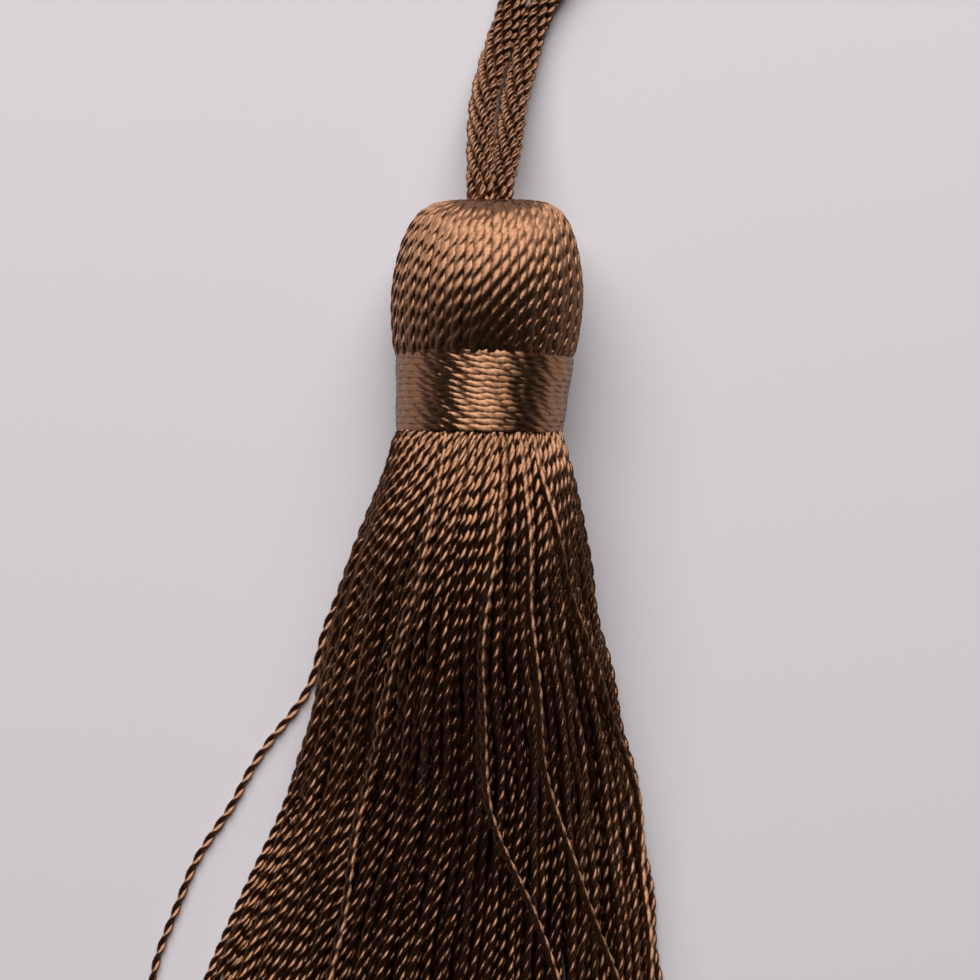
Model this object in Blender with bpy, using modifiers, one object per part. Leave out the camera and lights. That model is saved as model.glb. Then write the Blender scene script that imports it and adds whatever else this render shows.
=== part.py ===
"""A silky tassel lying on its side: a domed head with its skirt of strands, a neck wrap and a hanging cord.

Metres, +Z up. The tassel's axis runs along Y, with the skirt towards -Y and the hanging cord towards +Y.
The origin is the middle of the small flat spot that the head rests on. Every size and place below is in
millimetres, and MM turns it into metres where an object is made.
"""

import math

import bmesh
import bpy
import numpy as np

MM = 0.001
SEED = 11
WELD = 0.001  # points nearer than this become one

# Head: a dome turned round the tassel's axis, which lies at AXIS_HEIGHT over the surface
AXIS_HEIGHT = 5.8
HEAD_RADIUS = 6.0
HEAD_FRONT = 6.8  # from the widest ring to where the crown's curve would meet the axis
HEAD_BACK = 5.75  # the same, towards the neck
HEAD_POWER = 2.7  # over 2, so the dome has full shoulders
CROWN_Y = 6.62
DIMPLE_Y = 6.15  # floor of the hollow that the cord comes out of
DIMPLE_RADIUS = 2.1
CROWN_RADIUS = 2.9
HEAD_END_Y = -2.2
DOME_RINGS_Y = (6.35, 5.8, 5.0, 4.0, 2.8, 1.4, 0.0, -1.2, HEAD_END_Y)
TURN_STEPS = 48
CUT_SIDE = 20.0  # the block under the surface that gives the head its flat spot
CUT_DEPTH = 4.0
CUT_MIDDLE_Y = -2.0

# Neck and root block: the neck runs inside the wrap, and the block holds the strands' roots
NECK_RADIUS = 4.65
NECK_END_Y = -8.4
BLOCK_RADIUS = 5.55
BLOCK_END_RADIUS = 5.75
BLOCK_END_Y = -9.8

# Neck wrap: turns of thread side by side, tapering a little towards the skirt
GAP = 0.3
WRAP_TOP_Y = HEAD_END_Y - GAP
WRAP_BOTTOM_Y = NECK_END_Y + GAP
WRAP_INNER_RADIUS = NECK_RADIUS + GAP
WRAP_TOP_RADIUS = 5.66
WRAP_BOTTOM_RADIUS = 5.3
WRAP_TURNS = 13
WRAP_GROOVE = 0.1
WRAP_STEPS = 36

# Skirt: strands of three sides, each resting on a flat one
STRANDS = 250
STRAND_RADIUS = 0.26
STRAND_SPACING = 0.56
LEAST_SPACING = 0.48  # a strand that comes nearer than this to one before it is left out
CHECKS_A_SECTION = 12
DRIFT = 0.10
TIP_RAGGED = 0.9
REST_REACH = 0.25  # a strand that ends this near over its rest lies down
PUSH_SHARE = 0.4  # how much of an overlap each strand gives way in one round
SETTLE_ROUNDS = 90
SKIRT_ROUNDS = 60

# One row for each section of the skirt: its distance along the axis, the x of its middle, half its width,
# its height, the height of its underside, and how far it has gone from a round to a flat-bottomed shape
SECTIONS = (
    {"y": -9.0, "middle": 0.0, "half": 5.50, "tall": 11.0, "under": 0.30, "flat": 0.0},
    {"y": -13.4, "middle": -0.5, "half": 7.05, "tall": 12.3, "under": 0.0, "flat": 0.25},
    {"y": -19.5, "middle": -1.0, "half": 8.55, "tall": 11.8, "under": 0.0, "flat": 0.6},
    {"y": -31.1, "middle": -1.25, "half": 11.3, "tall": 8.6, "under": 0.0, "flat": 0.95},
    {"y": -42.5, "middle": -2.9, "half": 14.4, "tall": 5.9, "under": 0.0, "flat": 1.0},
    {"y": -73.1, "middle": -5.4, "half": 18.4, "tall": 3.7, "under": 0.0, "flat": 1.0},
)

# Strands that leave the flow: (y, x) points chosen by eye. Those on top cross the others, and those at the
# side lie on the surface by themselves
TOP_STRANDS = (
    ((-9.0, 3.2), (-18.2, 5.4), (-24.7, 7.9), (-31.0, 9.7), (-42.5, 10.6), (-73.1, 12.2)),
    ((-9.0, 1.2), (-24.0, -0.4), (-32.8, 0.6), (-42.5, 4.8), (-73.1, 9.4)),
    ((-9.0, 2.3), (-29.0, 3.6), (-38.6, 7.0), (-42.5, 8.4), (-73.1, 11.0)),
    ((-9.0, -2.4), (-24.0, -6.0), (-34.7, -8.3), (-40.9, -9.4), (-73.1, -14.6)),
)
SIDE_STRANDS = (
    (
        (-9.0, -4.2), (-16.4, -8.5), (-24.0, -11.2), (-30.8, -15.7),
        (-38.7, -19.9), (-42.5, -21.0), (-73.1, -25.9),
    ),
    ((-9.0, -5.0), (-19.5, -9.1), (-31.1, -12.3), (-37.0, -15.2), (-42.5, -17.4), (-73.1, -24.4)),
)
SIDE_LEAVES_Y = (-16.4, -34.0)  # where each side strand has come down to the surface
TOP_LIFT = 0.3

# Hanging cord: two strands twisted together, along (x, y, z) points chosen by hand. It leaves the crown,
# comes down to the surface and returns beside itself
CORD_RADIUS = 0.85  # also the thickness of one of its two strands
CORD_WAIST = 0.3  # half the cord's thickness in the groove between them
CORD_LAY = 5.3  # length of one full twist
CORD_STEPS_A_LAY = 8
CURVE_SAMPLES = 20
CORD_POINTS = (
    (-0.15, 6.45, 6.45), (-0.13, 7.6, 6.4), (-0.13, 9.4, 5.7), (-0.10, 11.3, 4.5), (0.06, 13.2, 3.1),
    (0.50, 15.2, 1.9), (1.12, 17.2, 1.15), (1.85, 19.4, 0.90), (2.30, 22.0, 0.90), (2.50, 26.0, 0.90),
    (2.60, 31.0, 0.90), (2.90, 36.0, 0.90), (3.60, 41.0, 0.90), (5.00, 45.8, 0.90), (7.40, 49.2, 0.90),
    (10.4, 50.0, 0.90), (12.9, 47.8, 0.90), (13.8, 43.6, 0.90), (13.2, 38.6, 0.90), (11.7, 33.6, 0.90),
    (9.70, 28.8, 0.90), (7.40, 24.6, 0.90), (5.20, 21.6, 0.90), (3.70, 19.2, 0.94), (2.98, 17.2, 1.05),
    (2.48, 15.2, 1.5), (1.98, 13.2, 2.3), (1.74, 11.3, 3.3), (1.42, 9.4, 4.3), (1.05, 7.6, 5.0),
    (0.95, 6.45, 5.1),
)

BROWN = (0.085, 0.040, 0.020, 1.0)
WRAP_BROWN = (0.16, 0.080, 0.045, 1.0)
CORD_BROWN = (0.07, 0.032, 0.016, 1.0)
BROWN_ROUGHNESS = 0.45
WRAP_ROUGHNESS = 0.4
CORD_ROUGHNESS = 0.5


def clear_scene():
    for item in list(bpy.data.objects):
        bpy.data.objects.remove(item, do_unlink=True)


def new_collection(name):
    group = bpy.data.collections.new(name)
    bpy.context.scene.collection.children.link(group)
    return group


def new_material(name, colour, roughness):
    made = bpy.data.materials.new(name)
    made.use_nodes = True
    shader = made.node_tree.nodes["Principled BSDF"]
    shader.inputs["Base Color"].default_value = colour
    shader.inputs["Roughness"].default_value = roughness
    shader.inputs["Metallic"].default_value = 0.0
    return made


def mark_guide(item, guides):
    guides.objects.link(item)
    item.hide_render = True
    item.display_type = "WIRE"


def turned(name, profile, steps, group, closed):
    """A solid turned round the tassel's axis. profile holds (radius, y) points in mm, outer side first."""
    mesh = bpy.data.meshes.new(name)
    points = [(radius * MM, 0.0, along * MM) for radius, along in profile]
    edges = [(n, n + 1) for n in range(len(points) - 1)]
    if closed:
        edges.append((len(points) - 1, 0))
    mesh.from_pydata(points, edges, [])
    item = bpy.data.objects.new(name, mesh)
    group.objects.link(item)
    item.location = (0.0, 0.0, AXIS_HEIGHT * MM)
    item.rotation_euler = (-math.pi / 2, 0.0, 0.0)
    turn = item.modifiers.new("turn", "SCREW")
    turn.axis = "Z"
    turn.steps = steps
    turn.render_steps = steps
    turn.use_merge_vertices = True
    turn.merge_threshold = WELD * MM
    turn.use_normal_calculate = False
    return item


def dome_radius(along):
    """The head's radius at a distance along the axis from its widest ring."""
    reach = HEAD_FRONT if along > 0 else HEAD_BACK
    return HEAD_RADIUS * (1 - abs(along / reach) ** HEAD_POWER) ** (1 / HEAD_POWER)


def head_profile():
    crown = [(0.0, DIMPLE_Y), (DIMPLE_RADIUS, DIMPLE_Y), (CROWN_RADIUS, CROWN_Y)]
    dome = [(dome_radius(along), along) for along in DOME_RINGS_Y]
    neck = [(NECK_RADIUS, HEAD_END_Y), (NECK_RADIUS, NECK_END_Y)]
    block = [(BLOCK_RADIUS, NECK_END_Y), (BLOCK_END_RADIUS, BLOCK_END_Y), (0.0, BLOCK_END_Y)]
    return crown + dome + neck + block


def wrap_profile():
    """The wrap's ridged outer side from top to bottom, and its plain inner side."""
    pitch = (WRAP_TOP_Y - WRAP_BOTTOM_Y) / WRAP_TURNS
    outer = []
    for turn in range(WRAP_TURNS):
        top = WRAP_TOP_Y - turn * pitch
        share = (turn + 0.5) / WRAP_TURNS
        crest = WRAP_TOP_RADIUS + (WRAP_BOTTOM_RADIUS - WRAP_TOP_RADIUS) * share
        outer.append((crest - WRAP_GROOVE, top))
        outer.append((crest, top - pitch / 2))
    outer.append((WRAP_BOTTOM_RADIUS - WRAP_GROOVE, WRAP_BOTTOM_Y))
    return outer + [(WRAP_INNER_RADIUS, WRAP_BOTTOM_Y), (WRAP_INNER_RADIUS, WRAP_TOP_Y)]


def section_edges(section, x):
    """The lowest and highest z of a section at some x values."""
    across = np.clip((x - section["middle"]) / section["half"], -1, 1)
    bulge = np.sqrt(1 - across**2)
    round_part = (1 - section["flat"]) * section["tall"] / 2
    low = section["under"] + round_part * (1 - bulge)
    high = section["under"] + round_part * (1 + bulge) + section["flat"] * section["tall"] * bulge
    return low, high


def hold_inside(places, section):
    room = section["half"] - STRAND_RADIUS
    low_x = section["middle"] - room
    places[:, 0] = np.clip(places[:, 0], low_x, low_x + 2 * room)
    low, high = section_edges(section, places[:, 0])
    low = low + STRAND_RADIUS / 2
    high = np.maximum(high - STRAND_RADIUS, low)
    places[:, 1] = np.clip(places[:, 1], low, high)


def settle(places, fixed, section, rounds):
    """Pushes strands that are too close apart, round the fixed ones, and keeps them in the section."""
    for _ in range(rounds):
        everyone = np.vstack([places, fixed])
        offsets = places[:, None, :] - everyone[None, :, :]
        reach = np.maximum(np.hypot(offsets[..., 0], offsets[..., 1]), 1e-6)
        push = np.clip(STRAND_SPACING - reach, 0, None) / reach * PUSH_SHARE
        push[np.arange(len(places)), np.arange(len(places))] = 0
        places += (offsets * push[..., None]).sum(axis=1)
        hold_inside(places, section)


def lie_down(places, section):
    """Where the skirt lies flat, strands just over the surface come down and rest level on it."""
    rest = STRAND_RADIUS / 2
    if section["flat"] == 1.0:
        places[places[:, 1] < rest + REST_REACH, 1] = rest


def carry(places, before, after):
    """Moves strands from one section's shape to the next one's, keeping their order in it."""
    across = (places[:, 0] - before["middle"]) / before["half"]
    low, high = section_edges(before, places[:, 0])
    share = (places[:, 1] - low) / np.maximum(high - low, 1e-6)
    moved = np.empty_like(places)
    moved[:, 0] = after["middle"] + across * after["half"]
    low, high = section_edges(after, moved[:, 0])
    moved[:, 1] = low + share * (high - low)
    return moved


def line_x(points, y):
    """The x of a strand's hand-placed points at a y."""
    return np.interp(-y, [-point[0] for point in points], [point[1] for point in points])


def guided_places(section):
    """Where the strands that leave the flow pass a section."""
    y = section["y"]
    root = SECTIONS[0]
    rows = []
    for points in TOP_STRANDS:
        x = line_x(points, y)
        high = section_edges(section, x)[1]
        rows.append((x, high - STRAND_RADIUS if section is root else high + TOP_LIFT))
    for points, leaves in zip(SIDE_STRANDS, SIDE_LEAVES_Y):
        down = np.clip((y - root["y"]) / (leaves - root["y"]), 0, 1)
        rows.append((line_x(points, y), AXIS_HEIGHT + (STRAND_RADIUS / 2 - AXIS_HEIGHT) * down))
    return np.array(rows)


def bend_side_strand(strand, points):
    """Gives a strand at the side the points of its own table as well, for a rounder line."""
    heights = [(-place[1], place[2]) for place in strand]
    own = [y for y, _ in points[1:-1] if y not in [place[1] for place in strand]]
    extra = [(x, y, np.interp(-y, *zip(*heights))) for y, x in points if y in own]
    return sorted(strand + extra, key=lambda place: -place[1])


def apart(stations):
    """Which strands stay clear of each other all the way, looking at the guided ones first."""
    shares = np.linspace(0, 1, CHECKS_A_SECTION, endpoint=False)
    between = [a + (b - a) * share for a, b in zip(stations, stations[1:]) for share in shares]
    tracks = np.array(between + [stations[-1]]).transpose(1, 0, 2)
    kept = []
    for n in reversed(range(len(tracks))):
        if not kept or np.linalg.norm(tracks[kept] - tracks[n], axis=2).min() > LEAST_SPACING:
            kept.append(n)
    return kept


def lay_strands():
    """Each strand's (x, y, z) points in mm, one for each section, from its root to its cut end."""
    chance = np.random.default_rng(SEED)
    free = STRANDS - len(TOP_STRANDS) - len(SIDE_STRANDS)
    root = SECTIONS[0]
    turn = math.pi * (3 - math.sqrt(5))
    order = np.arange(free)
    reach = (root["half"] - STRAND_RADIUS) * np.sqrt((order + 0.5) / free)
    places = np.column_stack([reach * np.cos(order * turn), AXIS_HEIGHT + reach * np.sin(order * turn)])
    settle(places, guided_places(root), root, SETTLE_ROUNDS)
    stations = [np.vstack([places, guided_places(root)])]
    for before, after in zip(SECTIONS, SECTIONS[1:]):
        places = carry(places, before, after) + chance.normal(0, DRIFT, places.shape)
        settle(places, guided_places(after), after, SKIRT_ROUNDS)
        lie_down(places, after)
        stations.append(np.vstack([places, guided_places(after)]))
    stations = np.array(stations)
    ragged = chance.uniform(-TIP_RAGGED, TIP_RAGGED, STRANDS)
    strands = []
    for n in apart(stations):
        strand = [(place[0], row["y"], place[1]) for place, row in zip(stations[:, n], SECTIONS)]
        x, y, z = strand[-1]
        strand[-1] = (x, y + ragged[n], z)
        side = n - STRANDS + len(SIDE_STRANDS)
        strands.append(bend_side_strand(strand, SIDE_STRANDS[side]) if side >= 0 else strand)
    return strands


def profile_curve(name, outline, guides):
    """A flat closed outline, in mm, that a curve is given as its section."""
    curve = bpy.data.curves.new(name, "CURVE")
    curve.dimensions = "2D"
    curve.fill_mode = "NONE"
    line = curve.splines.new("POLY")
    line.points.add(len(outline) - 1)
    for point, (x, y) in zip(line.points, outline):
        point.co = (x * MM, y * MM, 0.0, 1.0)
    line.use_cyclic_u = True
    item = bpy.data.objects.new(name, curve)
    mark_guide(item, guides)
    return item


def curve_solid(name, lines, tilts, section, twist, group):
    """A mesh object swept along poly lines, in mm, with its caps welded."""
    curve = bpy.data.curves.new(name, "CURVE")
    curve.dimensions = "3D"
    curve.twist_mode = twist
    curve.bevel_mode = "OBJECT"
    curve.bevel_object = section
    curve.use_fill_caps = True
    for points, angles in zip(lines, tilts):
        line = curve.splines.new("POLY")
        line.points.add(len(points) - 1)
        for point, place, angle in zip(line.points, points, angles):
            point.co = (place[0] * MM, place[1] * MM, place[2] * MM, 1.0)
            point.tilt = angle
    swept = bpy.data.objects.new(name + "_line", curve)
    group.objects.link(swept)
    seen = swept.evaluated_get(bpy.context.evaluated_depsgraph_get())
    mesh = bpy.data.meshes.new_from_object(seen)
    form = bmesh.new()
    form.from_mesh(mesh)
    bmesh.ops.remove_doubles(form, verts=form.verts, dist=WELD * MM)
    bmesh.ops.recalc_face_normals(form, faces=form.faces)
    form.to_mesh(mesh)
    form.free()
    bpy.data.objects.remove(swept)
    item = bpy.data.objects.new(name, mesh)
    item.matrix_world.identity()
    group.objects.link(item)
    return item


def floor_cutter(guides):
    """A block under the surface, which leaves the head its small flat spot."""
    bpy.ops.mesh.primitive_cube_add(size=1.0, location=(0.0, CUT_MIDDLE_Y * MM, -CUT_DEPTH / 2 * MM))
    item = bpy.context.object
    item.name = "surface_block"
    wide = CUT_SIDE * MM
    item.data.transform(((wide, 0, 0, 0), (0, wide, 0, 0), (0, 0, CUT_DEPTH * MM, 0), (0, 0, 0, 1)))
    for group in list(item.users_collection):
        group.objects.unlink(item)
    mark_guide(item, guides)
    return item


def smooth_line(points, spacing):
    """Points about `spacing` apart on a smooth curve through the given ones."""
    ends = np.vstack([2 * points[0] - points[1], points, 2 * points[-1] - points[-2]])
    fine = []
    for a, b, c, d in zip(ends, ends[1:], ends[2:], ends[3:]):
        start_slope = (c - a) / 2
        end_slope = (d - b) / 2
        square = 3 * (c - b) - 2 * start_slope - end_slope
        cube = 2 * (b - c) + start_slope + end_slope
        for t in np.linspace(0, 1, CURVE_SAMPLES, endpoint=False):
            fine.append(b + start_slope * t + square * t**2 + cube * t**3)
    fine.append(points[-1])
    fine = np.array(fine)
    run = np.concatenate([[0], np.cumsum(np.linalg.norm(np.diff(fine, axis=0), axis=1))])
    marks = np.linspace(0, run[-1], round(run[-1] / spacing) + 1)
    return np.column_stack([np.interp(marks, run, fine[:, k]) for k in range(3)])


def head_and_skirt(parts, guides):
    body = turned("head_and_skirt", head_profile(), TURN_STEPS, parts, closed=False)
    trim = body.modifiers.new("flat_spot", "BOOLEAN")
    trim.operation = "DIFFERENCE"
    trim.object = floor_cutter(guides)
    side = STRAND_RADIUS * math.sqrt(3) / 2
    triangle = [(0.0, STRAND_RADIUS), (-side, -STRAND_RADIUS / 2), (side, -STRAND_RADIUS / 2)]
    outline = profile_curve("strand_section", triangle, guides)
    lines = lay_strands()
    tilts = [[0.0] * len(line) for line in lines]
    strands = curve_solid("skirt_strands", lines, tilts, outline, "Z_UP", guides)
    strands.hide_render = True
    strands.display_type = "WIRE"
    fuse = body.modifiers.new("strand_roots", "BOOLEAN")
    fuse.operation = "UNION"
    fuse.object = strands
    body.data.materials.append(new_material("brown_thread", BROWN, BROWN_ROUGHNESS))
    return body


def neck_wrap(parts):
    ring = turned("neck_wrap", wrap_profile(), WRAP_STEPS, parts, closed=True)
    ring.data.materials.append(new_material("wrap_thread", WRAP_BROWN, WRAP_ROUGHNESS))
    return ring


def hanging_cord(parts, guides):
    line = smooth_line(np.array(CORD_POINTS), CORD_LAY / CORD_STEPS_A_LAY)
    lobe = CORD_RADIUS / 2
    outline = [
        (CORD_RADIUS, 0.0), (lobe, lobe), (0.0, CORD_WAIST), (-lobe, lobe),
        (-CORD_RADIUS, 0.0), (-lobe, -lobe), (0.0, -CORD_WAIST), (lobe, -lobe),
    ]
    section = profile_curve("cord_section", outline, guides)
    step = 2 * math.pi / CORD_STEPS_A_LAY
    tilts = [-step * n for n in range(len(line))]
    cord = curve_solid("hanging_cord", [line], [tilts], section, "MINIMUM", parts)
    cord.data.materials.append(new_material("cord_thread", CORD_BROWN, CORD_ROUGHNESS))
    return cord


def main():
    clear_scene()
    parts = new_collection("tassel")
    guides = new_collection("cutters")
    head_and_skirt(parts, guides)
    neck_wrap(parts)
    hanging_cord(parts, guides)


main()
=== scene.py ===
"""A silky tassel lying on its side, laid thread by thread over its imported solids.

Metres, +Z up. The tassel's axis runs along Y, with the skirt towards -Y and the hanging cord towards +Y.
Sizes are millimetres unless a name or comment says otherwise, and MM turns them into metres.
"""

import math

import bpy
import numpy as np
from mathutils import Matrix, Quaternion, Vector


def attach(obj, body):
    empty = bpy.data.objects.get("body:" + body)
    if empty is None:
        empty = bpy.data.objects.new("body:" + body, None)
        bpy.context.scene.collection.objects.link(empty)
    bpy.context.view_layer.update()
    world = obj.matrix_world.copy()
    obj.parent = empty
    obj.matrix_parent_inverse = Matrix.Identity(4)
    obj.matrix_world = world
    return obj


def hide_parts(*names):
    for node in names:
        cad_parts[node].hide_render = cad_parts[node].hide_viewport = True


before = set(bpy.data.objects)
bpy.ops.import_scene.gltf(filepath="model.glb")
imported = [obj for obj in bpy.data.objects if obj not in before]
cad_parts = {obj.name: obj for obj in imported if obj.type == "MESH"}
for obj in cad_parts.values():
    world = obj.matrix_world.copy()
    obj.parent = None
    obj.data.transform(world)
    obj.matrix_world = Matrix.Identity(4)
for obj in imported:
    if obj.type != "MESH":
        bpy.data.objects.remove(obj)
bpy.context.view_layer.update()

MM = 0.001
SEED = 11
TINY = 1e-6  # keeps a division from zero
ALMOST_UPRIGHT = 0.1  # the sine of a direction's angle to the upright, under which it counts as upright

# Camera: straight above, far enough away to show little perspective
IMAGE_SIDE = 980
PIXELS_A_MM = 15.8
VIEW_MIDDLE = (0.443, -11.52)
VIEW_HEIGHT = 400.0
VIEW_LEVEL = 5.0  # height of the plane that the frame is fitted to
SENSOR = 36.0

# Thread: two plies twisted together
THREAD_RADIUS = 0.28
THREAD_PITCH = 2.25
RING_STEP = 0.27
PRESSED = 0.36  # thickness over width of a thread that is pressed flat
# Radius round half a thread, from one ply's back to the other's
PLIES_SECTION = (1.0, 0.90, 0.62, 0.30, 0.62, 0.90)
PRESSED_SECTION = (1.0, 0.95, 0.80, 0.62, 0.80, 0.95)
PLAIN_SECTION = (1.0, 0.75)
FILLING_SECTION = (1.0, 1.0, 1.0)

# Silk: a metal-like gloss in the thread's colour, with fine fibres in its colour, gloss and bump
SILK_METALLIC = 0.97
SILK_ROUGHNESS = 0.38
ANISOTROPY = 1.0
GLOSS_TURN = 0.25  # a quarter turn, so that the gloss spreads across the fibres
GLOSS_SPREAD = (-0.05, 0.07)  # how far the roughness strays from it
FIBRE_STRETCH = (0.5, 14.0, 1.0)  # the noise's scale along a thread and across it
FIBRE_DETAIL = 3.0
TINT_ENDS = (0.3, 0.7)  # the noise's values where the darkest and the lightest colour are reached
BUMP_STRENGTH = 0.35
BUMP_DEPTH = 0.02
BROWN_COLORS = ((0.25, 0.119, 0.061), (0.40, 0.203, 0.115))  # the darkest and the lightest
WRAP_COLORS = ((0.27, 0.129, 0.066), (0.43, 0.219, 0.125))
CORD_COLORS = ((0.18, 0.086, 0.044), (0.32, 0.163, 0.093))

# Floor and light. The light's place and size are in metres, its turn in degrees and its power in watts
FLOOR_REACH = 2.0  # metres from the middle to each side
FLOOR_COLOR = (0.68, 0.645, 0.67)
FLOOR_ROUGHNESS = 0.9
LIGHT_PLACE = (-0.03, 0.45, 0.45)
LIGHT_SIZE = (0.64, 0.74)
LIGHT_TURN = -36.0
LIGHT_POWER = 7.4
AMBIENT_COLOR = (1.0, 0.98, 1.0)
AMBIENT_STRENGTH = 0.015

# Head
AXIS_HEIGHT = 5.8
LEAN = 0.09  # how far the head, neck and wrap lean towards +X for each mm over the axis
LEAN_END_Y = -22.0
# How far the middle of the head, wrap and neck lies off the axis in x, at some places along it
BEND_Y = (-13.4, -9.6, -7.85, -5.8, -2.66, 0.5, 4.0, 6.46)
BEND_X = (0.0, -0.25, -0.25, -0.09, 0.13, 0.25, 0.36, 0.50)
HEAD_DOME = (  # (radius, y) from the neck to the crown's rim
    (5.55, -3.2), (5.78, -2.66), (5.93, -1.7), (6.03, -0.76), (6.08, 0.5), (6.01, 1.77), (5.80, 3.04),
    (5.47, 4.3), (5.20, 4.95), (4.86, 5.57), (4.40, 6.07), (3.90, 6.39), (3.30, 6.58),
)
HEAD_HOLLOW = ((2.6, 6.60), (2.05, 6.4), (1.75, 5.8))
HEAD_THREADS = 62
HEAD_THREAD_RADIUS = 0.38
HEAD_THREAD_PITCH = 2.15
HEAD_PITCHES = (0.94, 1.06)  # least and greatest pitch, as a share of that one
HEAD_UNEVEN = 0.004  # how far a thread strays round the head, in radians
HEAD_SLANT = 0.007  # how far it turns round the head on its way to the crown
CROWN_SINK = 0.3  # how far every second thread sinks where they crowd together
CORE_SINK = 0.35
CORE_HOLLOW = ((0.0, 5.2), (1.2, 5.2), (1.6, 5.6))  # (radius, y) of the core inside the crown
CORE_NECK = ((4.9, -3.6), (4.8, -8.2), (0.0, -8.6))
TURN_STEPS = 64

# Neck wrap
WRAP_TOP_Y = -2.5
WRAP_BOTTOM_Y = -8.1
WRAP_TOP_RADIUS = 5.66
WRAP_BOTTOM_RADIUS = 5.3
WRAP_TURNS = 13
WRAP_TILT = 0.065  # how far the first turn drops towards +X for each mm; the last one doesn't
WRAP_THREAD_RADIUS = 0.29
WRAP_THREAD_PITCH = 2.5
WRAP_STEPS = 90
WRAP_UNEVEN = 0.02
WRAP_TUCK = 0.25  # the share of a turn over which each end of the thread goes under

# Skirt, laid out as the solids are
STRANDS = 250
GOLDEN_TURN = math.pi * (3 - math.sqrt(5))  # from one root's place to the next one's, in radians
STRAND_RADIUS = 0.26
STRAND_SPACING = 0.56
LEAST_SPACING = 0.48
CHECKS_A_SECTION = 12
DRIFT = 0.10
TIP_RAGGED = 0.9
REST_REACH = 0.25  # a strand that ends this near over its rest lies down
PUSH_SHARE = 0.4
SETTLE_ROUNDS = 90
SKIRT_ROUNDS = 60
SECTIONS = (
    {"y": -9.0, "middle": 0.0, "half": 5.50, "tall": 11.0, "under": 0.30, "flat": 0.0},
    {"y": -13.4, "middle": -0.5, "half": 7.05, "tall": 12.3, "under": 0.0, "flat": 0.25},
    {"y": -19.5, "middle": -1.0, "half": 8.55, "tall": 11.8, "under": 0.0, "flat": 0.6},
    {"y": -31.1, "middle": -1.25, "half": 11.3, "tall": 8.6, "under": 0.0, "flat": 0.95},
    {"y": -42.5, "middle": -2.9, "half": 14.4, "tall": 5.9, "under": 0.0, "flat": 1.0},
    {"y": -73.1, "middle": -5.4, "half": 18.4, "tall": 3.7, "under": 0.0, "flat": 1.0},
)
TOP_STRANDS = (
    ((-9.0, 3.2), (-18.2, 5.4), (-24.7, 7.9), (-31.0, 9.7), (-42.5, 10.6), (-73.1, 12.2)),
    ((-9.0, 1.2), (-24.0, -0.4), (-32.8, 0.6), (-42.5, 4.8), (-73.1, 9.4)),
    ((-9.0, 2.3), (-29.0, 3.6), (-38.6, 7.0), (-42.5, 8.4), (-73.1, 11.0)),
    ((-9.0, -2.4), (-24.0, -6.0), (-34.7, -8.3), (-40.9, -9.4), (-73.1, -14.6)),
)
SIDE_STRANDS = (
    (
        (-9.0, -4.2), (-16.4, -8.5), (-24.0, -11.2), (-30.8, -15.7),
        (-38.7, -19.9), (-42.5, -21.0), (-73.1, -25.9),
    ),
    ((-9.0, -5.0), (-19.5, -9.1), (-31.1, -12.3), (-37.0, -15.2), (-42.5, -17.4), (-73.1, -24.4)),
)
SIDE_LEAVES_Y = (-16.4, -34.0)
TOP_LIFT = 0.3
EDGE_THREADS = 9  # more threads along each side of the skirt, which close its thin edges
EDGE_SPACING = 0.036  # between them, as a share of the skirt's half width
COLLAR_THREADS = 30  # more threads over the top of the root, which sink into the skirt as it widens
COLLAR_REACH = 1.35  # how far round from the top they lie on each side, in radians
COLLAR_DEPTHS = (0.36, 0.62, 1.1, 2.0)  # under the skirt's top at the first sections
NEAR = 0.45  # strands this near in height are beside each other, and this near in x one over the other
CLEAR = 0.2  # how far over or beside a strand another one has to lie to hide it
HIDING_ABOVE = 3
HIDING_BESIDE = 2
CROSSING_RISE = (0.0, 0.0, 0.1, 0.6, 1.5, 0.6)  # more lift at each section for the threads that cross others
WANDER_FROM_Y = -11.0
WANDER_GROWS = 8.0  # the length over which a thread comes to stray that far
WANDER_SIDE = 0.12  # how far a thread strays from its even line
WANDER_UP = 0.09
WANDER_LENGTHS = (7.0, 15.0)
# How far the threads are drawn in under the wrap, and spring out again just below it
NECK = ({"y": -7.6, "share": 0.91}, {"y": -8.2, "share": 0.98}, {"y": -9.6, "share": 1.06})
SKIRT_PITCHES = (0.9, 1.1)  # least and greatest pitch, as a share of the thread's
UNSEEN_STEP = 4 * RING_STEP
VIEW_END_Y = -43.5  # past this the skirt is out of the picture, and its threads have fewer rings
PAST_VIEW_EVERY = 3  # one in this many rings stays there
SKIRT_PIECES = 5
SKIRT_FIBRES = (0.8, 1.05)  # 1 where the fine fibres run along the thread, 0 where they follow its plies
CROSSING_FIBRES = -0.1  # below 0 they wind further round than the plies do

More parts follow.
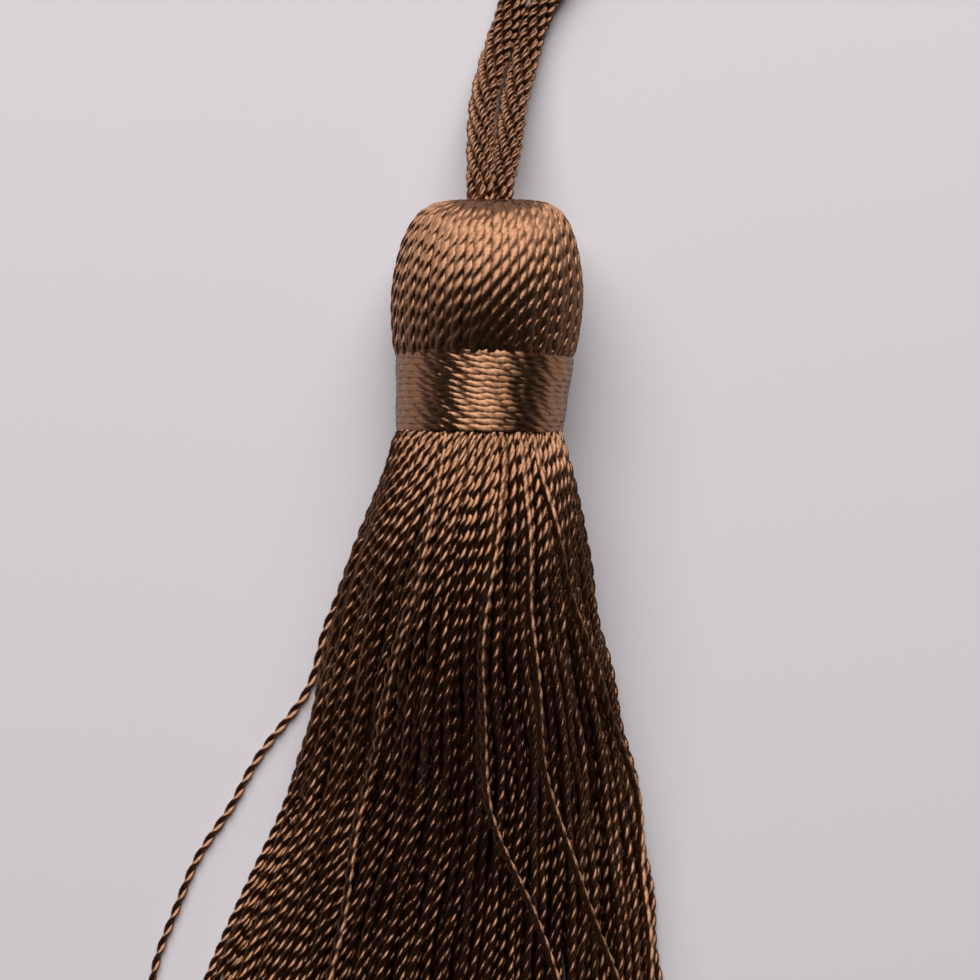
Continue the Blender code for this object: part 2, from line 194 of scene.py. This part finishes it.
# Hanging cord: six threads laid S way, each of two plies laid Z way. Its route is in metres
CORD_ROUTE = (
    (-0.00015, 0.00645, 0.00645), (-0.00013, 0.0076, 0.0064), (-0.00013, 0.0094, 0.0057),
    (-0.00010, 0.0113, 0.0045), (0.00006, 0.0132, 0.0031), (0.00050, 0.0152, 0.0019),
    (0.00112, 0.0172, 0.00115), (0.00185, 0.0194, 0.00090), (0.00230, 0.0220, 0.00090),
    (0.00250, 0.0260, 0.00090), (0.00260, 0.0310, 0.00090), (0.00290, 0.0360, 0.00090),
    (0.00360, 0.0410, 0.00090), (0.00500, 0.0458, 0.00090), (0.00740, 0.0492, 0.00090),
    (0.0104, 0.0500, 0.00090), (0.0129, 0.0478, 0.00090), (0.0138, 0.0436, 0.00090),
    (0.0132, 0.0386, 0.00090), (0.0117, 0.0336, 0.00090), (0.00970, 0.0288, 0.00090),
    (0.00740, 0.0246, 0.00090), (0.00520, 0.0216, 0.00090), (0.00370, 0.0192, 0.00094),
    (0.00298, 0.0172, 0.00105), (0.00248, 0.0152, 0.0015), (0.00198, 0.0132, 0.0023),
    (0.00174, 0.0113, 0.0033), (0.00142, 0.0094, 0.0043), (0.00105, 0.0076, 0.0050),
    (0.00095, 0.00645, 0.0051),
)
CORD_THREADS = 6
CORD_LAY = 11.0
CORD_THREAD_OFFSET = 0.62  # from the cord's middle to a thread's
CORD_THREAD_RADIUS = 0.35
CORD_FILLING_RADIUS = 0.40  # of the plain thread in the cord's middle
CORD_THREAD_PITCH = 1.3
CORD_PITCH_GROWS = 0.03  # from one of the cord's threads to the next, as a share
CORD_STEP = 0.12


def smooth_line(points, spacing):
    """Points about `spacing` apart on a smooth curve through the given ones, however unevenly they lie."""
    points = np.asarray(points, float)
    knots = run_along(points)
    steps = np.diff(knots)[:, None]
    rates = np.diff(points, axis=0) / steps
    slopes = np.empty_like(points)
    slopes[1:-1] = (steps[1:] * rates[:-1] + steps[:-1] * rates[1:]) / (steps[1:] + steps[:-1])
    slopes[0] = rates[0]
    slopes[-1] = rates[-1]
    marks = np.linspace(0, knots[-1], round(knots[-1] / spacing) + 1)
    part = np.clip(np.searchsorted(knots, marks, side="right") - 1, 0, len(steps) - 1)
    wide = steps[part]
    t = (marks - knots[part])[:, None] / wide
    from_start = (1 + 2 * t) * (1 - t) ** 2 * points[part] + t * (1 - t) ** 2 * wide * slopes[part]
    to_end = t**2 * (3 - 2 * t) * points[part + 1] + t**2 * (t - 1) * wide * slopes[part + 1]
    return from_start + to_end


def run_along(line):
    """The distance of each point from the line's start."""
    return np.concatenate([[0], np.cumsum(np.linalg.norm(np.diff(line, axis=0), axis=1))])


def directions_along(line):
    ahead = np.gradient(line, axis=0)
    return ahead / np.linalg.norm(ahead, axis=1)[:, None]


def frames_beside(line, beside):
    """Two directions across a line at each point, the first as near as can be to a given one."""
    ahead = directions_along(line)
    beside = np.broadcast_to(beside, line.shape)
    side = beside - ahead * (ahead * beside).sum(axis=1)[:, None]
    side /= np.linalg.norm(side, axis=1)[:, None]
    return side, np.cross(ahead, side)


def frames_along(line):
    """Two directions across a line at each point, carried along it without turning round it."""
    ahead = directions_along(line)
    side = np.empty_like(line)
    first = np.cross(ahead[0], (0.0, 0.0, 1.0))
    if np.linalg.norm(first) < ALMOST_UPRIGHT:
        first = np.cross(ahead[0], (1.0, 0.0, 0.0))
    side[0] = first / np.linalg.norm(first)
    for n in range(1, len(line)):
        carried = side[n - 1] - ahead[n] * (side[n - 1] @ ahead[n])
        side[n] = carried / np.linalg.norm(carried)
    return side, np.cross(ahead, side)


def cord_thread(middle, number):
    """The line of one of the threads that wind S way round the cord's middle."""
    side, up = frames_along(middle)
    turn = 2 * math.pi * (number / CORD_THREADS - run_along(middle) / CORD_LAY)[:, None]
    return middle + CORD_THREAD_OFFSET * (np.cos(turn) * side + np.sin(turn) * up)


def leaned(line):
    """A line moved to where the leaning and bent head and neck, which even out in the skirt, carry it."""
    line = np.array(line, float)
    share = np.clip(1 - line[:, 1] / LEAN_END_Y, 0, 1)
    line[:, 0] += LEAN * share * (line[:, 2] - AXIS_HEIGHT) + np.interp(line[:, 1], BEND_Y, BEND_X)
    return line


class Threads:
    """Gathers twisted threads, in mm, into one mesh."""

    def __init__(self):
        self.points = []
        self.faces = []
        self.maps = []
        self.count = 0
        self.threads = 0

    def add(self, line, phase, radius=THREAD_RADIUS, pitch=THREAD_PITCH, section=PLIES_SECTION, beside=None,
            fibres=1.0):
        """Lays a thread along a line. One that lies beside others on a form is pressed flat against it.

        fibres is 1 where the fine fibres run along the thread, 0 where they follow its plies, and below 0
        where they wind further round.
        """
        side, up = frames_along(line) if beside is None else frames_beside(line, beside)
        up = up * (1.0 if beside is None else PRESSED)
        run = run_along(line)
        shape = np.array(section * 2)
        corners = len(shape)
        start = np.arange(corners) * 2 * math.pi / corners
        angle = start[None, :] + phase + 2 * math.pi * run[:, None] / pitch
        across = np.cos(angle)[..., None] * side[:, None] + np.sin(angle)[..., None] * up[:, None]
        rings = line[:, None] + radius * shape[None, :, None] * across
        first = self.count
        self.points.append(rings.reshape(-1, 3))
        rows = first + np.arange(len(line) - 1)[:, None] * corners
        here = np.arange(corners)[None, :]
        after = (here + 1) % corners
        quads = np.stack([rows + here, rows + after, rows + corners + after, rows + corners + here], axis=-1)
        self.faces += quads.reshape(-1, 4).tolist()
        low = np.broadcast_to(run[:-1, None], (len(line) - 1, corners))
        high = np.broadcast_to(run[1:, None], low.shape)
        first_v = self.threads + here / corners
        low_v = first_v + fibres * low / pitch
        high_v = first_v + fibres * high / pitch
        step = 1 / corners
        corners_of = [(low, low_v), (low, low_v + step), (high, high_v + step), (high, high_v)]
        flat = np.stack([np.stack(pair, axis=-1) for pair in corners_of], axis=2)
        self.maps.append(flat.reshape(-1, 2))
        last = first + (len(line) - 1) * corners
        self.faces.append(list(range(first, first + corners))[::-1])
        self.faces.append(list(range(last, last + corners)))
        self.maps.append(np.tile((run[0], self.threads), (corners, 1)))
        self.maps.append(np.tile((run[-1], self.threads), (corners, 1)))
        self.count += rings.shape[0] * corners
        self.threads += 1

    def build(self, name, material):
        mesh = bpy.data.meshes.new(name)
        mesh.from_pydata((np.vstack(self.points) * MM).tolist(), [], self.faces)
        layer = mesh.uv_layers.new(name="fibre")
        layer.data.foreach_set("uv", np.vstack(self.maps).astype(np.float32).ravel())
        return add_piece(name, mesh, material)


def add_piece(name, mesh, material):
    """Puts a mesh in the scene as a smooth piece that rides the part."""
    mesh.shade_smooth()
    mesh.materials.append(material)
    piece = bpy.data.objects.new(name, mesh)
    bpy.context.scene.collection.objects.link(piece)
    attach(piece, "root")
    return piece


def silk(name, colors):
    """Silky thread: a tinted gloss, and fine filaments along the thread in its colour and bump."""
    made = bpy.data.materials.new(name)
    made.use_nodes = True
    nodes = made.node_tree.nodes
    links = made.node_tree.links
    shader = nodes["Principled BSDF"]
    shader.inputs["Metallic"].default_value = SILK_METALLIC
    shader.inputs["Anisotropic"].default_value = ANISOTROPY
    shader.inputs["Anisotropic Rotation"].default_value = GLOSS_TURN
    place = nodes.new("ShaderNodeUVMap")
    place.uv_map = "fibre"
    stretch = nodes.new("ShaderNodeMapping")
    stretch.inputs["Scale"].default_value = FIBRE_STRETCH
    noise = nodes.new("ShaderNodeTexNoise")
    noise.inputs["Scale"].default_value = 1.0
    noise.inputs["Detail"].default_value = FIBRE_DETAIL
    tint = nodes.new("ShaderNodeValToRGB")
    for stop, position, color in zip(tint.color_ramp.elements, TINT_ENDS, colors):
        stop.position = position
        stop.color = (*color, 1.0)
    gloss = nodes.new("ShaderNodeMapRange")
    gloss.inputs["To Min"].default_value = SILK_ROUGHNESS + GLOSS_SPREAD[0]
    gloss.inputs["To Max"].default_value = SILK_ROUGHNESS + GLOSS_SPREAD[1]
    bump = nodes.new("ShaderNodeBump")
    bump.inputs["Strength"].default_value = BUMP_STRENGTH
    bump.inputs["Distance"].default_value = BUMP_DEPTH * MM
    tangent = nodes.new("ShaderNodeTangent")
    tangent.direction_type = "UV_MAP"
    tangent.uv_map = "fibre"
    links.new(place.outputs["UV"], stretch.inputs["Vector"])
    links.new(stretch.outputs["Vector"], noise.inputs["Vector"])
    links.new(noise.outputs["Fac"], tint.inputs["Fac"])
    links.new(tint.outputs["Color"], shader.inputs["Base Color"])
    links.new(noise.outputs["Fac"], gloss.inputs["Value"])
    links.new(gloss.outputs["Result"], shader.inputs["Roughness"])
    links.new(noise.outputs["Fac"], bump.inputs["Height"])
    links.new(bump.outputs["Normal"], shader.inputs["Normal"])
    links.new(tangent.outputs["Tangent"], shader.inputs["Tangent"])
    return made


def make_camera():
    data = bpy.data.cameras.new("above")
    data.sensor_width = SENSOR
    data.lens = SENSOR * VIEW_HEIGHT * PIXELS_A_MM / IMAGE_SIDE
    camera = bpy.data.objects.new("above", data)
    camera.location = (VIEW_MIDDLE[0] * MM, VIEW_MIDDLE[1] * MM, (VIEW_HEIGHT + VIEW_LEVEL) * MM)
    bpy.context.scene.collection.objects.link(camera)
    bpy.context.scene.camera = camera


def make_cord(material):
    middle = smooth_line(np.array(CORD_ROUTE) / MM, CORD_STEP)
    threads = Threads()
    threads.add(middle, 0.0, CORD_FILLING_RADIUS, CORD_LAY, FILLING_SECTION)
    for number in range(CORD_THREADS):
        line = cord_thread(middle, number)
        line[:, 2] = np.maximum(line[:, 2], CORD_THREAD_RADIUS)
        pitch = CORD_THREAD_PITCH * (1 + CORD_PITCH_GROWS * number)
        threads.add(line, number, CORD_THREAD_RADIUS, pitch)
    piece = threads.build("cord_threads", material)
    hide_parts("hanging_cord")


def make_head(material):
    chance = np.random.default_rng(SEED)
    threads = Threads()
    sink = HEAD_THREAD_RADIUS * PRESSED
    profile = [(radius - sink, y) for radius, y in HEAD_DOME + HEAD_HOLLOW]
    crown_y = HEAD_DOME[-1][1]
    for n in range(HEAD_THREADS):
        around = 2 * math.pi * n / HEAD_THREADS + chance.normal(0, HEAD_UNEVEN)
        slant = chance.normal(0, HEAD_SLANT)
        points = []
        for radius, y in profile:
            room = 2 * math.pi * radius / HEAD_THREADS / (2 * HEAD_THREAD_RADIUS)
            depth = CROWN_SINK * max(0, 1 - room) * (n % 2)
            turn = around + slant * y / crown_y
            reach = radius - depth
            points.append((reach * math.sin(turn), y, AXIS_HEIGHT + reach * math.cos(turn)))
        line = leaned(smooth_line(points, RING_STEP))
        line[:, 2] = np.maximum(line[:, 2], HEAD_THREAD_RADIUS)
        round_it = (math.cos(around), 0.0, -math.sin(around))
        pitch = HEAD_THREAD_PITCH * chance.uniform(*HEAD_PITCHES)
        phase = chance.uniform(0, math.pi)
        threads.add(line, phase, HEAD_THREAD_RADIUS, pitch, PRESSED_SECTION, round_it)
    piece = threads.build("head_threads", material)
    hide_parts("head_and_skirt")


def make_core(material):
    """The dark inside of the head and neck, which closes what shows between the threads."""
    dome = [(radius - CORE_SINK, y - CORE_SINK / 2) for radius, y in reversed(HEAD_DOME)]
    profile = [*CORE_HOLLOW, *dome, *CORE_NECK]
    points = []
    faces = []
    for radius, y in profile:
        for n in range(TURN_STEPS):
            turn = 2 * math.pi * n / TURN_STEPS
            points.append((radius * math.sin(turn), y, AXIS_HEIGHT + radius * math.cos(turn)))
    for row in range(len(profile) - 1):
        low = row * TURN_STEPS
        high = low + TURN_STEPS
        for n in range(TURN_STEPS):
            m = (n + 1) % TURN_STEPS
            faces.append((low + n, low + m, high + m, high + n))
    mesh = bpy.data.meshes.new("head_core")
    mesh.from_pydata((leaned(points) * MM).tolist(), [], faces)
    piece = add_piece("head_core", mesh, material)
    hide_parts("head_and_skirt")


def make_wrap(material):
    chance = np.random.default_rng(SEED + 1)
    total = WRAP_TURNS * WRAP_STEPS
    share = np.arange(total + 1) / total
    uneven = chance.normal(0, WRAP_UNEVEN, WRAP_TURNS + 1)
    wobble = np.interp(share * WRAP_TURNS, range(WRAP_TURNS + 1), uneven)
    outer = WRAP_TOP_RADIUS + (WRAP_BOTTOM_RADIUS - WRAP_TOP_RADIUS) * share
    radius = outer - WRAP_THREAD_RADIUS * PRESSED + wobble
    tuck = np.clip(np.minimum(share, 1 - share) * WRAP_TURNS / WRAP_TUCK, 0, 1)
    radius -= (1 - tuck) * 2 * WRAP_THREAD_RADIUS
    turn = share * WRAP_TURNS * 2 * math.pi + math.pi
    drop = WRAP_BOTTOM_Y - WRAP_TOP_Y + 2 * WRAP_THREAD_RADIUS
    y = WRAP_TOP_Y - WRAP_THREAD_RADIUS + drop * share
    y -= WRAP_TILT * (1 - share) * radius * np.sin(turn)
    line = np.column_stack([radius * np.sin(turn), y, AXIS_HEIGHT + radius * np.cos(turn)])
    threads = Threads()
    beside = (0.0, 1.0, 0.0)
    threads.add(leaned(line), 0.0, WRAP_THREAD_RADIUS, WRAP_THREAD_PITCH, PRESSED_SECTION, beside)
    piece = threads.build("wrap_threads", material)
    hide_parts("neck_wrap")


def section_edges(section, x):
    """The lowest and highest z of a section at some x values."""
    across = np.clip((x - section["middle"]) / section["half"], -1, 1)
    bulge = np.sqrt(1 - across**2)
    round_part = (1 - section["flat"]) * section["tall"] / 2
    low = section["under"] + round_part * (1 - bulge)
    high = section["under"] + round_part * (1 + bulge) + section["flat"] * section["tall"] * bulge
    return low, high


def hold_inside(places, section):
    room = section["half"] - STRAND_RADIUS
    low_x = section["middle"] - room
    places[:, 0] = np.clip(places[:, 0], low_x, low_x + 2 * room)
    low, high = section_edges(section, places[:, 0])
    low = low + STRAND_RADIUS / 2
    high = np.maximum(high - STRAND_RADIUS, low)
    places[:, 1] = np.clip(places[:, 1], low, high)


def settle(places, fixed, section, rounds):
    """Pushes strands that are too close apart, round the fixed ones, and keeps them in the section."""
    for _ in range(rounds):
        everyone = np.vstack([places, fixed])
        offsets = places[:, None, :] - everyone[None, :, :]
        reach = np.maximum(np.hypot(offsets[..., 0], offsets[..., 1]), TINY)
        push = np.clip(STRAND_SPACING - reach, 0, None) / reach * PUSH_SHARE
        push[np.arange(len(places)), np.arange(len(places))] = 0
        places += (offsets * push[..., None]).sum(axis=1)
        hold_inside(places, section)


def lie_down(places, section):
    """Where the skirt lies flat, strands just over the surface come down and rest level on it."""
    rest = STRAND_RADIUS / 2
    if section["flat"] == 1.0:
        places[places[:, 1] < rest + REST_REACH, 1] = rest


def carry(places, before, after):
    """Moves strands from one section's shape to the next one's, keeping their order in it."""
    across = (places[:, 0] - before["middle"]) / before["half"]
    low, high = section_edges(before, places[:, 0])
    share = (places[:, 1] - low) / np.maximum(high - low, TINY)
    moved = np.empty_like(places)
    moved[:, 0] = after["middle"] + across * after["half"]
    low, high = section_edges(after, moved[:, 0])
    moved[:, 1] = low + share * (high - low)
    return moved


def line_x(points, y):
    """The x of a strand's listed points at a y."""
    return np.interp(-y, [-point[0] for point in points], [point[1] for point in points])


def guided_places(section):
    """Where the strands that leave the flow pass a section."""
    y = section["y"]
    root = SECTIONS[0]
    rows = []
    for points in TOP_STRANDS:
        x = line_x(points, y)
        high = section_edges(section, x)[1]
        rows.append((x, high - STRAND_RADIUS if section is root else high + TOP_LIFT))
    for points, leaves in zip(SIDE_STRANDS, SIDE_LEAVES_Y):
        down = np.clip((y - root["y"]) / (leaves - root["y"]), 0, 1)
        rows.append((line_x(points, y), AXIS_HEIGHT + (STRAND_RADIUS / 2 - AXIS_HEIGHT) * down))
    return np.array(rows)


def bend_side_strand(strand, points):
    """Gives a strand at the side the points of its own table as well, for a rounder line."""
    heights = [(-place[1], place[2]) for place in strand]
    own = [y for y, _ in points[1:-1] if y not in [place[1] for place in strand]]
    extra = [(x, y, np.interp(-y, *zip(*heights))) for y, x in points if y in own]
    return sorted(strand + extra, key=lambda place: -place[1])


def apart(stations):
    """Which strands stay clear of each other all the way, looking at the guided ones first."""
    shares = np.linspace(0, 1, CHECKS_A_SECTION, endpoint=False)
    between = [a + (b - a) * share for a, b in zip(stations, stations[1:]) for share in shares]
    tracks = np.array(between + [stations[-1]]).transpose(1, 0, 2)
    kept = []
    for n in reversed(range(len(tracks))):
        if not kept or np.linalg.norm(tracks[kept] - tracks[n], axis=2).min() > LEAST_SPACING:
            kept.append(n)
    return kept


def lay_strands():
    """Each strand's (x, y, z) points in mm, one for each section, from its root to its cut end."""
    chance = np.random.default_rng(SEED)
    free = STRANDS - len(TOP_STRANDS) - len(SIDE_STRANDS)
    root = SECTIONS[0]
    order = np.arange(free)
    turn = order * GOLDEN_TURN
    reach = (root["half"] - STRAND_RADIUS) * np.sqrt((order + 0.5) / free)
    places = np.column_stack([reach * np.cos(turn), AXIS_HEIGHT + reach * np.sin(turn)])
    settle(places, guided_places(root), root, SETTLE_ROUNDS)
    stations = [np.vstack([places, guided_places(root)])]
    for before, after in zip(SECTIONS, SECTIONS[1:]):
        places = carry(places, before, after) + chance.normal(0, DRIFT, places.shape)
        settle(places, guided_places(after), after, SKIRT_ROUNDS)
        lie_down(places, after)
        stations.append(np.vstack([places, guided_places(after)]))
    stations = np.array(stations)
    ragged = chance.uniform(-TIP_RAGGED, TIP_RAGGED, STRANDS)
    strands = []
    for n in apart(stations):
        strand = [(place[0], row["y"], place[1]) for place, row in zip(stations[:, n], SECTIONS)]
        x, y, z = strand[-1]
        strand[-1] = (x, y + ragged[n], z)
        side = n - STRANDS + len(SIDE_STRANDS)
        strands.append(bend_side_strand(strand, SIDE_STRANDS[side]) if side >= 0 else strand)
    return strands


def thinned(line):
    """Keeps every point that the picture shows, and some of the others."""
    return line[(line[:, 1] > VIEW_END_Y) | (np.arange(len(line)) % PAST_VIEW_EVERY == 0)]


def buried(strands):
    """Which strands have enough others above and on both sides at every section but the first and last."""
    deep = np.ones(len(strands), bool)
    stations = np.array([[strand[n] for strand in strands] for n in range(1, len(SECTIONS) - 1)])
    for places in stations:
        across = places[None, :, 0] - places[:, None, 0]
        over = places[None, :, 2] - places[:, None, 2]
        above = ((abs(across) < NEAR) & (over > CLEAR)).sum(axis=1)
        right = ((abs(over) < NEAR) & (across > CLEAR)).sum(axis=1)
        left = ((abs(over) < NEAR) & (across < -CLEAR)).sum(axis=1)
        deep &= (above >= HIDING_ABOVE) & (right >= HIDING_BESIDE) & (left >= HIDING_BESIDE)
    return deep


def edge_strands():
    """Threads side by side along both edges of the skirt, from its outline inwards."""
    lines = []
    for sign in (-1, 1):
        for n in range(EDGE_THREADS):
            line = []
            for section in SECTIONS:
                x = section["middle"] + sign * (section["half"] - THREAD_RADIUS) * (1 - EDGE_SPACING * n)
                low = section_edges(section, x)[0]
                line.append((x, section["y"], low + THREAD_RADIUS))
            lines.append(line)
    return lines


def collar_strands():
    """Threads that fill the skirt's top where it comes out of the wrap."""
    lines = []
    for turn in np.linspace(-COLLAR_REACH, COLLAR_REACH, COLLAR_THREADS):
        line = []
        for section, depth in zip(SECTIONS, COLLAR_DEPTHS):
            x = section["middle"] + (section["half"] - THREAD_RADIUS) * math.sin(turn)
            line.append((x, section["y"], section_edges(section, x)[1] - depth))
        lines.append(line)
    return lines


def crossing(strand):
    """A strand on top, lifted a little more than the solid's, so that its thread lies over the others."""
    return [(x, y, z + rise) for (x, y, z), rise in zip(strand, CROSSING_RISE)]


def wandering(line, chance):
    """A thread's line with the small waves of a soft thread that lies loosely among others."""
    share = np.clip((WANDER_FROM_Y - line[:, 1]) / WANDER_GROWS, 0, 1)
    for axis, size in ((0, WANDER_SIDE), (2, WANDER_UP)):
        wave = 2 * math.pi * line[:, 1] / chance.uniform(*WANDER_LENGTHS)
        line[:, axis] += size * share * np.sin(wave + chance.uniform(0, 2 * math.pi))
    return line


def drawn_in(place, share, y):
    """A root's place moved towards the axis or away from it."""
    return (place[0] * share, y, AXIS_HEIGHT + (place[2] - AXIS_HEIGHT) * share)


def make_skirt(material):
    chance = np.random.default_rng(SEED + 2)
    laid = lay_strands()
    tops = slice(len(SIDE_STRANDS), len(SIDE_STRANDS) + len(TOP_STRANDS))  # the guided ones come first
    crossings = [crossing(strand) for strand in laid[tops]]
    laid[tops] = crossings
    strands = laid + edge_strands() + collar_strands()
    strands.sort(key=lambda strand: strand[3][0])
    plain = [strand for strand in strands if len(strand) == len(SECTIONS)]
    unseen = [strand for strand, deep in zip(plain, buried(plain)) if deep]
    bounds = np.linspace(0, len(strands), SKIRT_PIECES + 1).astype(int)
    for number, (first, last) in enumerate(zip(bounds, bounds[1:])):
        threads = Threads()
        for strand in strands[first:last]:
            neck = [drawn_in(strand[0], place["share"], place["y"]) for place in NECK]
            hidden = strand in unseen
            line = leaned(smooth_line(neck + strand[1:], UNSEEN_STEP if hidden else RING_STEP))
            line = wandering(line, chance)
            line[:, 2] = np.maximum(line[:, 2], THREAD_RADIUS)
            pitch = THREAD_PITCH * chance.uniform(*SKIRT_PITCHES)
            section = PLAIN_SECTION if hidden else PLIES_SECTION
            phase = chance.uniform(0, math.pi)
            fibres = CROSSING_FIBRES if strand in crossings else chance.uniform(*SKIRT_FIBRES)
            threads.add(thinned(line), phase, THREAD_RADIUS, pitch, section, fibres=fibres)
        piece = threads.build(f"skirt_threads_{number + 1}", material)
        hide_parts("head_and_skirt")


def make_stage():
    mesh = bpy.data.meshes.new("floor")
    reach = FLOOR_REACH
    corners = [(-reach, -reach, 0), (reach, -reach, 0), (reach, reach, 0), (-reach, reach, 0)]
    mesh.from_pydata(corners, [], [(0, 1, 2, 3)])
    floor = bpy.data.objects.new("floor", mesh)
    bpy.context.scene.collection.objects.link(floor)
    paint = bpy.data.materials.new("pale_floor")
    paint.use_nodes = True
    shader = paint.node_tree.nodes["Principled BSDF"]
    shader.inputs["Base Color"].default_value = (*FLOOR_COLOR, 1.0)
    shader.inputs["Roughness"].default_value = FLOOR_ROUGHNESS
    mesh.materials.append(paint)


def make_light():
    """A flat soft light that faces the tassel, turned in its own plane."""
    data = bpy.data.lights.new("softbox", "AREA")
    data.shape = "RECTANGLE"
    data.size, data.size_y = LIGHT_SIZE
    data.energy = LIGHT_POWER
    light = bpy.data.objects.new("softbox", data)
    light.location = LIGHT_PLACE
    light.rotation_mode = "QUATERNION"
    facing = (-Vector(LIGHT_PLACE)).to_track_quat("-Z", "Y")
    light.rotation_quaternion = facing @ Quaternion((0.0, 0.0, 1.0), math.radians(LIGHT_TURN))
    bpy.context.scene.collection.objects.link(light)


def make_ambience():
    """The view transform, and the weak even light from all round."""
    bpy.context.scene.view_settings.view_transform = "Standard"
    world = bpy.context.scene.world or bpy.data.worlds.new("studio")
    bpy.context.scene.world = world
    world.use_nodes = True
    ambient = world.node_tree.nodes["Background"]
    ambient.inputs["Color"].default_value = (*AMBIENT_COLOR, 1.0)
    ambient.inputs["Strength"].default_value = AMBIENT_STRENGTH


def main():
    make_camera()
    brown = silk("brown_thread_silk", BROWN_COLORS)
    wrap = silk("wrap_thread_silk", WRAP_COLORS)
    cord = silk("cord_thread_silk", CORD_COLORS)
    make_cord(cord)
    make_core(brown)
    make_head(brown)
    make_wrap(wrap)
    make_skirt(brown)
    make_stage()
    make_ambience()
    make_light()


main()
